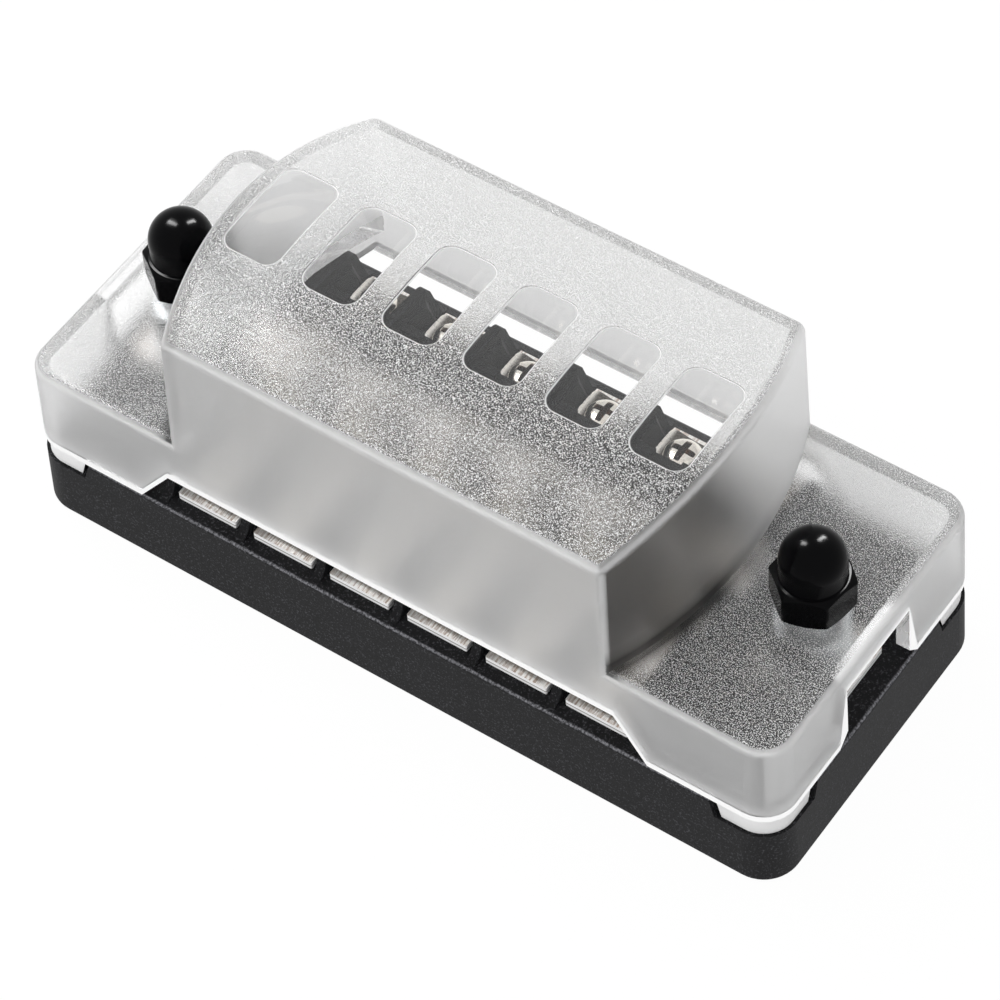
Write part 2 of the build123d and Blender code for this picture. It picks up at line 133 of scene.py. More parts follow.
relief = add(black_nylon, "Bump", {"Height": pits.outputs["Fac"], "Strength": 0.35,
                                   "Distance": 0.00006})
skin = add(black_nylon, "BsdfPrincipled", {"Base Color": shade.outputs[0],
                                           "Roughness": sheen.outputs[0],
                                           "Normal": relief.outputs[0], "IOR": 1.53,
                                           "Specular IOR Level": 0.1})
black_nylon.node_tree.links.new(skin.outputs[0], out.inputs["Surface"])
finish_node("base", black_nylon)


# Bus bars and terminal plates: pressed from rolled brass strip and tin plated. The rolling grain
# shows as fine brownish lines through the thin plating. The sheared edges are paler and duller,
# with one darker line along them where the strip tore.

circuits = range(1, 7)
tear_height = 0.01355

plated_strip, out = new_material("tin_plated_brass_strip")
mm = millimetres(plated_strip, stretch=(0.9, 0.06, 1.0))
grain = add(plated_strip, "TexNoise", {"Vector": mm, "Scale": 4.0, "Detail": 4.0,
                                       "Roughness": 0.7})
tone = add(plated_strip, "ValToRGB", {"Fac": grain.outputs["Fac"]})
tone.color_ramp.elements[0].position = 0.38
tone.color_ramp.elements[0].color = linear("#B7A598")
tone.color_ramp.elements[1].position = 0.56
tone.color_ramp.elements[1].color = linear("#FBF9F6")
facing = add(plated_strip, "SeparateXYZ", {0: add(plated_strip, "TexCoord").outputs["Normal"]})
level = add(plated_strip, "Math", {0: facing.outputs["Z"]}, operation="ABSOLUTE")
cut = add(plated_strip, "MapRange", {"Value": level.outputs[0], "From Min": 0.3, "From Max": 0.6,
                                     "To Min": 1.0, "To Max": 0.0})
height = add(plated_strip, "SeparateXYZ", {0: add(plated_strip, "TexCoord").outputs["Object"]})
tear = add(plated_strip, "Math", {0: height.outputs["Z"], 1: tear_height}, operation="SUBTRACT")
tear = add(plated_strip, "Math", {0: tear.outputs[0]}, operation="ABSOLUTE")
tear = add(plated_strip, "MapRange", {"Value": tear.outputs[0], "From Min": 0.00004,
                                      "From Max": 0.00012})
sheared = add(plated_strip, "MixRGB", {0: tear.outputs[0], 1: linear("#8E8882"),
                                       2: linear("#FFFFFF")})
tone = add(plated_strip, "MixRGB", {0: cut.outputs[0], 1: tone.outputs[0],
                                    2: sheared.outputs[0]})
metal = add(plated_strip, "MapRange", {"Value": cut.outputs[0], "To Min": 0.6, "To Max": 0.1})
relief = add(plated_strip, "Bump", {"Height": grain.outputs["Fac"], "Strength": 0.4,
                                    "Distance": 0.00004})
skin = add(plated_strip, "BsdfPrincipled", {"Base Color": tone.outputs[0],
                                            "Metallic": metal.outputs[0], "Roughness": 0.3,
                                            "Normal": relief.outputs[0]})
plated_strip.node_tree.links.new(skin.outputs[0], out.inputs["Surface"])
for bar in ("positive_bus_bar", "negative_bus_bar"):
    finish_node(bar, plated_strip)
for number in circuits:
    finish_node(f"output_plate_{number}", plated_strip)


# Fuse clips: bent from thin spring bronze and tin plated after bending, so their skin is even,
# bright and a little warm.

spring_sheet, out = new_material("tin_plated_spring_bronze")
mm = millimetres(spring_sheet)
blush = add(spring_sheet, "TexNoise", {"Vector": mm, "Scale": 0.6, "Detail": 3.0})
tone = add(spring_sheet, "MixRGB", {0: blush.outputs["Fac"], 1: linear("#B9B0A4"),
                                    2: linear("#D9D6D0")})
skin = add(spring_sheet, "BsdfPrincipled", {"Base Color": tone.outputs[0], "Metallic": 1.0,
                                            "Roughness": 0.3})
spring_sheet.node_tree.links.new(skin.outputs[0], out.inputs["Surface"])
for number in circuits:
    finish_node(f"fuse_clip_out_{number}", spring_sheet)
    finish_node(f"fuse_clip_feed_{number}", spring_sheet)


# Terminal screws: M3 pan heads, cold headed, with a cross recess punched in and the thread rolled
# on, then barrel nickel plated. The plate is thin and brassy down in the recess.

def ring_stack(name, rows, closed=False):
    """A surface from level rings of points. Row k, column j of rows holds x, y and z in millimetres
    and turns anticlockwise with j. Open stacks end in a point at the middle of the first and of
    the last ring, and a closed one joins its last ring to its first."""
    count, around = rows.shape[:2]
    j = np.arange(around)
    after = (j + 1) % around
    k = np.arange(count if closed else count - 1)[:, None]
    above = (k + 1) % count
    quads = np.stack([k * around + j, k * around + after, above * around + after,
                      above * around + j], -1)
    faces = quads.reshape(-1, 4).tolist()
    points = rows.reshape(-1, 3)
    if not closed:
        points = np.vstack([points, rows[0].mean(axis=0), rows[-1].mean(axis=0)])
        last, foot, tip = (count - 1) * around, count * around, count * around + 1
        faces += np.stack([after, j, np.full(around, foot)], -1).tolist()
        faces += np.stack([last + j, last + after, np.full(around, tip)], -1).tolist()
    mesh = bpy.data.meshes.new(name)
    mesh.from_pydata((points / 1000).tolist(), [], faces)
    mesh.shade_smooth()
    mesh.set_sharp_from_angle(angle=math.radians(38))
    piece = bpy.data.objects.new(name, mesh)
    bpy.context.scene.collection.objects.link(piece)
    return piece


def round_rows(centre, angle, radius, height):
    """Rings about an upright centre line: x and y are the radius times the cosine and sine of the
    angle, and z is the height. Radius and height have a row for each ring, and may vary along
    it."""
    radius, height, angle = np.broadcast_arrays(radius, height, angle)
    x = centre[0] + radius * np.cos(angle)
    y = centre[1] + radius * np.sin(angle)
    return np.stack([x, y, height], -1)


def thread_rows(angle, low, high, major, pitch, per_turn):
    """Radius and height of a rolled thread: the radius runs between the major radius and 0.61 of a
    pitch below it, as a triangle wave of the height in pitches less the angle in turns, so the
    crest climbs one pitch a turn, anticlockwise. It fades in over a pitch at each end."""
    height = np.linspace(low, high, int((high - low) / pitch * per_turn) + 1)[:, None]
    phase = (height / pitch - angle / (2 * math.pi)) % 1.0
    ridge = np.clip(1.6 * (1 - 2 * np.abs(phase - 0.5)) - 0.3, 0, 1)
    fade = np.clip(np.minimum(height - low, high - height) / pitch, 0, 1)
    return major - 0.61 * pitch * (1 - ridge * fade), height


circuit_pitch = 12.45
circuit_place = {number: (number - 3.5) * circuit_pitch for number in circuits}
terminal_rows = {"output": -17.2, "negative": 17.2}
screw_seat, screw_top, screw_tip = 15.49, 17.89, 7.49
thread_radius, thread_pitch = 1.5, 0.5
head_radius, head_height = 2.85, 2.4
wing_reach, wing_half_width = 1.7, 0.46
screw_angle = np.linspace(0, 2 * math.pi, 96, endpoint=False)[None, :]


def make_screw(name, centre):
    """From the tip up: a cone, the thread, the flat under the head, the head as a cubic
    superellipse (z = h times the cube root of 1 - (r/R) cubed), then down the recess. The recess
    outline is a smooth minimum of the wing's end, b / cos, and its side, a / sin of the angle from
    the nearest wing."""
    cone = np.array([[0.75], [1.1]]), np.array([[screw_tip], [screw_tip + 0.35]])
    thread = thread_rows(screw_angle, screw_tip + 0.4, screw_seat - 0.1, thread_radius,
                         thread_pitch, 6)
    seat = np.array([[thread_radius], [2.6], [2.75]]), np.full((3, 1), screw_seat)
    fold = np.abs((screw_angle + math.pi / 4) % (math.pi / 2) - math.pi / 4)
    wing = ((np.cos(fold) / wing_reach) ** 7 + (np.sin(fold) / wing_half_width) ** 7) ** (-1 / 7)
    step = np.linspace(0, math.pi / 2, 15)[:, None]
    rim = wing * 1.05
    radius = rim + (head_radius - rim) * np.cos(step) ** (2 / 3)
    height = screw_seat + head_height * np.clip(1 - (radius / head_radius) ** 3, 0, 1) ** (1 / 3)
    scale = np.array([[0.97], [0.9], [0.8], [0.66], [0.3]])
    sink = np.array([[0.12], [0.55], [1.0], [1.3], [1.45]])
    recess = wing * scale, height[-1:] - sink
    rows = [round_rows(centre, screw_angle, *rings)
            for rings in (cone, thread, seat, (radius, height), recess)]
    return ring_stack(name, np.vstack(rows))


nickel, out = new_material("barrel_nickel_plate")
mm = millimetres(nickel)
wear = add(nickel, "TexNoise", {"Vector": mm, "Scale": 1.4, "Detail": 4.0})
tone = add(nickel, "MixRGB", {0: wear.outputs["Fac"], 1: linear("#DAD3C6"), 2: linear("#F6F3EE")})
sunk = add(nickel, "Attribute", attribute_name="sunk")
tone = add(nickel, "MixRGB", {0: sunk.outputs["Fac"], 1: tone.outputs[0], 2: linear("#7A5638")})
gloss = add(nickel, "MapRange", {"Value": wear.outputs["Fac"], "To Min": 0.16, "To Max": 0.3})
relief = add(nickel, "Bump", {"Height": wear.outputs["Fac"], "Strength": 0.2,
                              "Distance": 0.00004})
skin = add(nickel, "BsdfPrincipled", {"Base Color": tone.outputs[0], "Metallic": 1.0,
                                      "Roughness": gloss.outputs[0], "Normal": relief.outputs[0]})
nickel.node_tree.links.new(skin.outputs[0], out.inputs["Surface"])
for row, y in terminal_rows.items():
    for number, x in circuit_place.items():
        node = f"{row}_screw_{number}"
        screw = make_screw(f"{node}_turned", (x, y))
        place = np.empty((len(screw.data.vertices), 3))
        screw.data.vertices.foreach_get("co", place.ravel())
        from_line = np.hypot(place[:, 0] * 1000 - x, place[:, 1] * 1000 - y)
        sunk = (from_line < 1.9) & (place[:, 2] * 1000 > screw_seat + 0.3)
        sunk = sunk * np.clip((screw_top - 0.12 - place[:, 2] * 1000) / 0.5, 0, 1)
        screw.data.attributes.new("sunk", "FLOAT", "POINT").data.foreach_set("value", sunk)
        screw.data.materials.append(nickel)
        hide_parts(node)
        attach(screw, f"{row}_screw_{number}")
        finish_node(node, nickel)


# Saddle clamps: a square washer under each screw, blanked and bent from steel so its two sides
# stand up and grip the lug. Its dark tone is painted shade, for the screw head's shadow on it, and
# the bent up edges carry a painted highlight.

strip_top = 14.2
clamp_half_x, clamp_half_y, clamp_offset = 4.2, 3.45, 0.65
clamp_sheet, clamp_bend_radius, clamp_hole_radius = 0.8, 10.25, 1.65


def make_clamp(name, centre, outward):
    """Rings round a section: each ring follows a curve between the hole's circle and a rectangle
    with rounded corners (power 8 superellipse), on the face, over the edge and back below. The
    sheet is bent to a cylinder, z = R less the root of R squared less x squared."""
    angle = np.linspace(0, 2 * math.pi, 96, endpoint=False)
    edge = ((np.abs(np.cos(angle)) / clamp_half_x) ** 8
            + (np.abs(np.sin(angle)) / clamp_half_y) ** 8) ** (-1 / 8)
    hole_x, hole_y = clamp_hole_radius * np.cos(angle), clamp_hole_radius * np.sin(angle)
    edge_x, edge_y = edge * np.cos(angle), edge * np.sin(angle) + clamp_offset * outward
    turn = np.linspace(-math.pi / 2, math.pi / 2, 7)
    share = np.concatenate([np.linspace(0, 0.94, 10), 0.95 + 0.05 * np.cos(turn),
                            np.linspace(0.94, 0, 10)])[:, None]
    half = clamp_sheet / 2
    level = np.concatenate([np.full(10, 0.0), half + half * np.sin(turn),
                            np.full(10, clamp_sheet)])[:, None]
    x = hole_x + (edge_x - hole_x) * share
    y = hole_y + (edge_y - hole_y) * share
    z = strip_top + clamp_bend_radius - np.sqrt((clamp_bend_radius - level) ** 2 - x ** 2)
    piece = ring_stack(name, np.stack([centre[0] + x, centre[1] + y, z], -1), closed=True)
    # Painted highlight along the bent up edges, where the ends rise.
    painted_edge_highlight = np.clip((np.abs(x) - 3.3) / 0.5, 0, 1)
    piece.data.attributes.new("painted_highlight", "FLOAT", "POINT").data.foreach_set("value", painted_edge_highlight.ravel())
    return piece


clamp_shaded_steel, out = new_material("steel_painted_dark_with_edge_highlight")
mm = millimetres(clamp_shaded_steel)
scuff = add(clamp_shaded_steel, "TexNoise", {"Vector": mm, "Scale": 2.2, "Detail": 4.0})
# Painted shade: the clamp is dark all over, for the shadow of the screw head on it.
painted_shade_tone = add(clamp_shaded_steel, "MixRGB", {0: scuff.outputs["Fac"], 1: linear("#3A3733"),
                                  2: linear("#6A655E")})
# The painted highlight along the bent up edges, set in make_clamp.
highlight_share = add(clamp_shaded_steel, "Attribute", attribute_name="painted_highlight")
tone = add(clamp_shaded_steel, "MixRGB", {0: highlight_share.outputs["Fac"], 1: painted_shade_tone.outputs[0],
                                  2: linear("#F2EEE7")})
gloss = add(clamp_shaded_steel, "MapRange", {"Value": scuff.outputs["Fac"], "To Min": 0.2,
                                     "To Max": 0.36})
skin = add(clamp_shaded_steel, "BsdfPrincipled", {"Base Color": tone.outputs[0], "Metallic": 1.0,
                                          "Roughness": gloss.outputs[0]})
clamp_shaded_steel.node_tree.links.new(skin.outputs[0], out.inputs["Surface"])
for row, y in terminal_rows.items():
    for number, x in circuit_place.items():
        node = f"{row}_clamp_{number}"
        clamp = make_clamp(f"{node}_pressed", (x, y), math.copysign(1, y))
        clamp.data.materials.append(clamp_shaded_steel)
        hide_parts(node)
        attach(clamp, node)
        finish_node(node, clamp_shaded_steel)


# Studs: M6 hexagon bolts held head down in pockets under the base, with their flat washer, split
# spring washer and nut. Rolled and pressed steel in bright zinc, a little blue and cloudy.

def chamfered_hexagon(angle, low, high, flats, core_low, core_high, turn=0.0):
    """A hexagon's rings from below to above: each is the lesser of its outline, half the distance
    over its flats divided by the cosine of the angle from the nearest flat's middle, and a turned
    30 degree cone, which leaves the curved facets of a real nut. Corners are eased by 1.5 %, and
    the end rings have the core radii."""
    fold = np.abs((angle - turn + math.pi / 6) % (math.pi / 3) - math.pi / 6)
    corner = flats / math.sqrt(3)
    outline = np.minimum(flats / 2 / np.cos(fold), corner * 0.985)
    start = flats / 2 * 0.95
    rise = np.linspace(0, 1, 9)[:, None]
    cone = start + (corner - start) * rise
    fall = (corner - start) * math.tan(math.radians(30)) * rise
    radius = np.vstack([np.full_like(outline, core_low), np.minimum(cone, outline),
                        np.minimum(cone[::-1], outline), np.full_like(outline, core_high)])
    height = np.vstack([[[low]], low + fall, high - fall[::-1], [[high]]])
    return radius, height * np.ones_like(outline)


def hexagon_angles(turn=0.0):
    """Angles that crowd towards the six corners, as a sine easing over each flat."""
    share = np.linspace(0, 6, 144, endpoint=False)
    within = share % 1.0 - 0.5
    eased = np.floor(share) + 0.5 + np.sin(within * math.pi) / 2
    return (eased * math.pi / 3 - math.pi / 6 + turn)[None, :]


zinc, out = new_material("bright_zinc_plate")
mm = millimetres(zinc)
cloud = add(zinc, "TexNoise", {"Vector": mm, "Scale": 0.5, "Detail": 3.0})
tone = add(zinc, "MixRGB", {0: cloud.outputs["Fac"], 1: linear("#B7BBBF"), 2: linear("#DADCDC")})
gloss = add(zinc, "MapRange", {"Value": cloud.outputs["Fac"], "To Min": 0.2, "To Max": 0.4})
skin = add(zinc, "BsdfPrincipled", {"Base Color": tone.outputs[0], "Metallic": 1.0,
                                    "Roughness": gloss.outputs[0]})
zinc.node_tree.links.new(skin.outputs[0], out.inputs["Surface"])

stud_reach = 49.5
hexagon_flats, nut_height, bolt_head_height = 10.0, 5.2, 4.0
stud_radius, stud_pitch = 3.0, 1.0
washer_thickness = 1.6
flat_on_side = math.pi / 6
washer_angle = np.linspace(0, 2 * math.pi, 72, endpoint=False)[None, :]
hexagon_angle = hexagon_angles(flat_on_side)
for side, x in (("left", -stud_reach), ("right", stud_reach)):
    head_low, stud_top = (1000 * corner[2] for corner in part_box(f"stud_{side}"))
    head = chamfered_hexagon(hexagon_angle, head_low, head_low + bolt_head_height,
                             hexagon_flats, stud_radius, stud_radius, flat_on_side)
    thread = thread_rows(hexagon_angle, head_low + 5.0, stud_top - 0.5, stud_radius,
                         stud_pitch, 8)
    end = np.array([[2.3], [1.6]]), np.array([[stud_top - 0.08], [stud_top]])
    pieces = {"stud": ring_stack(f"stud_{side}_rolled", np.vstack([
        round_rows((x, 0), hexagon_angle, *rings) for rings in (head, thread, end)]))}

    low = strip_top
    bevel = np.array([[3.2], [3.25], [5.85], [6.0], [6.0], [5.85], [3.25], [3.2]])
    level = low + np.array([[0.1], [0.0], [0.0], [0.15], [1.45], [1.6], [1.6], [1.5]])
    pieces["stud_washer"] = ring_stack(f"stud_washer_{side}_pressed", round_rows(
        (x, 0), washer_angle, bevel, level), closed=True)

    low += washer_thickness
    inner, outer, ease, slit = 3.2, 5.6, 0.12, 0.14
    arc = np.linspace(math.pi / 2 + slit, math.pi * 5 / 2 - slit, 97)
    section_r = np.array([inner, inner + ease, outer - ease, outer, outer, outer - ease,
                          inner + ease, inner])
    section_z = np.array([ease, 0.0, 0.0, ease, washer_thickness - ease, washer_thickness,
                          washer_thickness, washer_thickness - ease])
    lean = 0.18 * (section_z / washer_thickness - 0.5)
    at_slit = np.where(np.abs(arc - math.pi * 1.5) > 3.0, 1, 0)[:, None]
    reach = arc[:, None] - lean[None, :] * at_slit
    coil = np.stack([x + section_r * np.cos(reach), section_r * np.sin(reach),
                     low + section_z + 0 * reach], -1)
    pieces["lock_washer"] = ring_stack(f"lock_washer_{side}_coiled", coil[::-1])

    low += washer_thickness
    outside = chamfered_hexagon(hexagon_angle, low, low + nut_height, hexagon_flats, 3.3, 3.3,
                                flat_on_side)
    bore = thread_rows(hexagon_angle, low + 0.3, low + 4.9, 3.62, stud_pitch, 8)
    pieces["stud_nut"] = ring_stack(f"stud_nut_{side}_tapped", np.vstack([
        round_rows((x, 0), hexagon_angle, *outside),
        round_rows((x, 0), hexagon_angle, np.maximum(bore[0], 3.06)[::-1], bore[1][::-1])]),
        closed=True)

    for piece, made in pieces.items():
        node = f"{piece}_{side}"
        made.data.materials.append(zinc)
        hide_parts(node)
        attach(made, {"stud": "base_body", "stud_nut": node}.get(piece, f"washers_{side}"))
        finish_node(node, zinc)


# Cover: one shell of clear polycarbonate, its outside spark eroded to a coarse frost that
# sparkles on the roof and the decks and is finer on the walls. Six windows are left polished in
# the mould so that the fuses can be seen.

pane_half_x, pane_half_y, pane_round = 4.45, 8.0, 2.3
skirt_bottom = 13.1

# The cable cut-outs: half their width at the top and at the foot, and their height.
side_cut_top, side_cut_foot, side_cut_height = 35.3, 40.4, 6.8
end_cut_top, end_cut_foot, end_cut_height = 7.4, 9.3, 10.3
block_end_middle, deck_top = 19.7, 27.6

frost, out = new_material("frosted_clear_polycarbonate")
mm = millimetres(frost)
spot = add(frost, "SeparateXYZ", {0: mm})
far_x = add(frost, "Math", {0: spot.outputs["X"]}, operation="ABSOLUTE")
far_y = add(frost, "Math", {0: spot.outputs["Y"]}, operation="ABSOLUTE")

# The polished panes: the distance to a rectangle with rounded corners, in the bay of the row that
# the spot is in. The rim is a painted highlight: a pale line round each window, where its small
# step would catch the light.
bay = add(frost, "Math", {0: spot.outputs["X"], 1: circuit_pitch, 2: 0.0}, operation="WRAP")
bay = add(frost, "Math", {0: bay.outputs[0], 1: circuit_pitch / 2}, operation="SUBTRACT")
side_x = add(frost, "Math", {0: bay.outputs[0]}, operation="ABSOLUTE")
side_x = add(frost, "Math", {0: side_x.outputs[0], 1: pane_half_x - pane_round},
             operation="SUBTRACT")
side_y = add(frost, "Math", {0: far_y.outputs[0], 1: pane_half_y - pane_round},
             operation="SUBTRACT")
out_x = add(frost, "Math", {0: side_x.outputs[0], 1: 0.0}, operation="MAXIMUM")
out_y = add(frost, "Math", {0: side_y.outputs[0], 1: 0.0}, operation="MAXIMUM")
corner = add(frost, "CombineXYZ", {0: out_x.outputs[0], 1: out_y.outputs[0]})
reach = add(frost, "VectorMath", {0: corner.outputs[0]}, operation="LENGTH")
inner = add(frost, "Math", {0: side_x.outputs[0], 1: side_y.outputs[0]}, operation="MAXIMUM")
inner = add(frost, "Math", {0: inner.outputs[0], 1: 0.0}, operation="MINIMUM")
edge = add(frost, "Math", {0: reach.outputs["Value"], 1: inner.outputs[0]}, operation="ADD")
edge = add(frost, "Math", {0: edge.outputs[0], 1: pane_round}, operation="SUBTRACT")
roof = add(frost, "Math", {0: spot.outputs["Z"], 1: 46.0}, operation="GREATER_THAN")
pane = add(frost, "MapRange", {"Value": edge.outputs[0], "From Min": -0.05, "From Max": 0.05,
                               "To Min": 1.0, "To Max": 0.0})
pane = add(frost, "Math", {0: pane.outputs[0], 1: roof.outputs[0]}, operation="MULTIPLY")
rim = add(frost, "MapRange", {"Value": edge.outputs[0], "From Min": -0.3, "From Max": -0.12})
rim = add(frost, "Math", {0: rim.outputs[0], 1: pane.outputs[0]}, operation="MULTIPLY")

# Which way a face lies: level faces have the coarse frost, and only the outside is frosted. A
# face is outside where its normal points away from the middle of the box. Under is the edge that
# looks down at the foot, which is painted white as a glow, and thin is the block's two end walls,
# whose frost is the lightest.
normal = add(frost, "TexCoord").outputs["Normal"]
facing = add(frost, "SeparateXYZ", {0: normal})
level = add(frost, "Math", {0: facing.outputs["Z"]}, operation="ABSOLUTE")
coarse = add(frost, "MapRange", {"Value": level.outputs[0], "From Min": 0.82, "From Max": 0.92})
middle = add(frost, "VectorMath", {0: mm, 1: (0, 0, 12)}, operation="SUBTRACT")
away = add(frost, "VectorMath", {0: middle.outputs[0], 1: normal}, operation="DOT_PRODUCT")
flip = add(frost, "MapRange", {"Value": add(frost, "NewGeometry").outputs["Backfacing"],
                               "To Min": 1.0, "To Max": -1.0})
away = add(frost, "Math", {0: away.outputs["Value"], 1: flip.outputs[0]}, operation="MULTIPLY")
outside = add(frost, "Math", {0: away.outputs[0], 1: 0.0}, operation="GREATER_THAN")
rim = add(frost, "Math", {0: rim.outputs[0], 1: outside.outputs[0]}, operation="MULTIPLY")
# Painted glow: faces near the foot that look down are made fully white.
under = add(frost, "Math", {0: facing.outputs["Z"], 1: -0.3}, operation="LESS_THAN")
low = add(frost, "Math", {0: spot.outputs["Z"], 1: 24.0}, operation="LESS_THAN")
under = add(frost, "Math", {0: under.outputs[0], 1: low.outputs[0]}, operation="MULTIPLY")
frosted = add(frost, "Math", {0: 1.0, 1: pane.outputs[0]}, operation="SUBTRACT")
frosted = add(frost, "Math", {0: frosted.outputs[0], 1: outside.outputs[0]},
              operation="MULTIPLY")
film = add(frost, "Math", {0: coarse.outputs[0], 1: frosted.outputs[0]}, operation="MULTIPLY")
endwise = add(frost, "Math", {0: facing.outputs["X"]}, operation="ABSOLUTE")
endwise = add(frost, "MapRange", {"Value": endwise.outputs[0], "From Min": 0.3,
                                  "From Max": 0.8})
raised = add(frost, "MapRange", {"Value": spot.outputs["Z"], "From Min": 27.0,
                                 "From Max": 29.0})
thin = add(frost, "Math", {0: endwise.outputs[0], 1: raised.outputs[0]}, operation="MULTIPLY")

# The real grit is about 0.1 mm across. It is drawn at 0.16 mm, so that it shows. Relief bends
# what is seen through the frost, and facets give the film on it its bright sparkle.
grit = add(frost, "TexNoise", {"Vector": mm, "Scale": 6.2, "Detail": 1.0, "Roughness": 0.5})
depth = add(frost, "MapRange", {"Value": coarse.outputs[0], "To Min": 0.12, "To Max": 0.3})
depth = add(frost, "Math", {0: depth.outputs[0], 1: frosted.outputs[0]}, operation="MULTIPLY")
relief = add(frost, "Bump", {"Height": grit.outputs["Fac"], "Strength": depth.outputs[0],
                             "Distance": 0.00016})
facets = add(frost, "Bump", {"Height": grit.outputs["Fac"], "Strength": 1.0,
                             "Distance": 0.0003})
speck = add(frost, "MapRange", {"Value": grit.outputs["Fac"], "From Min": 0.52, "From Max": 0.6,
                                "To Min": 0.0, "To Max": 0.85})
haze = add(frost, "MapRange", {"Value": thin.outputs[0], "To Min": 0.5, "To Max": 0.36})
haze = add(frost, "MixRGB", {0: coarse.outputs[0], 1: haze.outputs[0],
                             2: (0.08, 0.08, 0.08, 1.0)})
haze = add(frost, "Math", {0: haze.outputs[0], 1: frosted.outputs[0]}, operation="MULTIPLY")

# Clear plastic carries light down to its edges, so the walls are palest at the foot, with one
# thin dark line above the very edge. Above counts 6 mm up from the edge of the skirt or of the
# cable cut-out over it.
lift_side = add(frost, "MapRange", {"Value": far_x.outputs[0], "From Min": side_cut_top,
                                    "From Max": side_cut_foot, "To Min": side_cut_height,
                                    "To Max": 0.0})
lift_end = add(frost, "MapRange", {"Value": far_y.outputs[0], "From Min": end_cut_top,
                                   "From Max": end_cut_foot, "To Min": end_cut_height,
                                   "To Max": 0.0})
lift = add(frost, "MixRGB", {0: endwise.outputs[0], 1: lift_side.outputs[0],
                             2: lift_end.outputs[0]})
above = add(frost, "Math", {0: spot.outputs["Z"], 1: lift.outputs[0]}, operation="SUBTRACT")
above = add(frost, "MapRange", {"Value": above.outputs[0], "From Min": skirt_bottom,
                                "From Max": skirt_bottom + 6.0})
piped = add(frost, "ValToRGB", {"Fac": above.outputs[0]})
for place, share in ((0.17, 1.0), (0.185, 0.12), (0.21, 0.12), (0.235, 0.55), (0.5, 0.36)):
    piped.color_ramp.elements.new(place).color = (share, share, share, 1.0)
piped.color_ramp.elements[0].color = (1.0, 1.0, 1.0, 1.0)
piped.color_ramp.elements[-1].color = (0.25, 0.25, 0.25, 1.0)
# Painted light on the block's end walls: their white share rises from the front to the back.
painted_end_wall_light = add(frost, "MapRange", {"Value": spot.outputs["Y"], "From Min": -2.0, "From Max": 18.0,
                               "To Min": 0.02, "To Max": 0.8})
satin = add(frost, "MixRGB", {0: thin.outputs[0], 1: piped.outputs[0], 2: painted_end_wall_light.outputs[0]})
lit_edge = add(frost, "MapRange", {"Value": above.outputs[0], "From Min": 0.16,
                                   "From Max": 0.175, "To Min": 0.85, "To Max": 0.0})
lit_edge = add(frost, "Math", {0: lit_edge.outputs[0], 1: low.outputs[0]},
               operation="MULTIPLY")
skirt = add(frost, "Math", {0: spot.outputs["Z"], 1: skirt_bottom - 0.05},
            operation="GREATER_THAN")
lit_edge = add(frost, "Math", {0: lit_edge.outputs[0], 1: skirt.outputs[0]},
               operation="MULTIPLY")

# Painted shade: the dark inside, seen through the frost, is painted into it as dark pepper, most
# in a band before the windows and over the right deck, and as a dim patch of painted shade at the
# front of the block's end walls.
front = add(frost, "MapRange", {"Value": spot.outputs["Y"], "From Min": -10.0,
                                "From Max": -2.0, "To Min": 1.0, "To Max": 0.0})
near = add(frost, "MapRange", {"Value": spot.outputs["Y"], "From Min": -16.0,
                               "From Max": -11.5, "To Min": 0.3, "To Max": 1.25})
beyond = add(frost, "Math", {0: far_x.outputs[0], 1: 40.0}, operation="GREATER_THAN")
near = add(frost, "MixRGB", {0: beyond.outputs[0], 1: near.outputs[0], 2: (1.3, 1.3, 1.3, 1.0)})
left = add(frost, "MapRange", {"Value": spot.outputs["X"], "From Min": -44.0, "From Max": -6.0,
                               "To Min": 0.0, "To Max": 1.0})
for share in (left, near, film):
    front = add(frost, "Math", {0: front.outputs[0], 1: share.outputs[0]},
                operation="MULTIPLY")
front = add(frost, "Math", {0: front.outputs[0], 1: 1.0}, operation="MINIMUM")
painted_shade_pepper = add(frost, "ValToRGB", {"Fac": grit.outputs["Fac"]})
painted_shade_pepper.color_ramp.elements[0].position = 0.42
painted_shade_pepper.color_ramp.elements[0].color = (0.006, 0.006, 0.006, 1.0)
painted_shade_pepper.color_ramp.elements[1].position = 0.58
painted_shade_pepper.color_ramp.elements[1].color = (0.22, 0.22, 0.22, 1.0)
tint = add(frost, "MixRGB", {0: front.outputs[0], 1: (1, 1, 1, 1), 2: painted_shade_pepper.outputs[0]})
painted_end_shade = add(frost, "MapRange", {"Value": spot.outputs["Y"], "From Min": -20.0, "From Max": -3.0,
                              "To Min": 0.34, "To Max": 1.0})
tint = add(frost, "MixRGB", {0: thin.outputs[0], 1: tint.outputs[0], 2: painted_end_shade.outputs[0]})

# Painted shade at the foot of the block's bowed ends, where the wall turns into the deck: a dark
# band that stands for the dark inside seen in the bend, on a ring round the middle of the bow, on
# the end walls and the deck and not on the long walls.
beside = add(frost, "Math", {0: far_x.outputs[0], 1: block_end_middle}, operation="ADD")
beside = add(frost, "CombineXYZ", {0: beside.outputs[0], 1: spot.outputs["Y"]})
beside = add(frost, "VectorMath", {0: beside.outputs[0]}, operation="LENGTH")
painted_seam_shade = add(frost, "MapRange", {"Value": beside.outputs["Value"], "From Min": 59.6,
                               "From Max": 61.4, "To Min": 0.95, "To Max": 0.0})
ring = add(frost, "MapRange", {"Value": beside.outputs["Value"], "From Min": 57.9,
                               "From Max": 58.2})
fade = add(frost, "MapRange", {"Value": spot.outputs["Y"], "From Min": -6.0, "From Max": 12.0,
                               "To Min": 1.0, "To Max": 0.15})
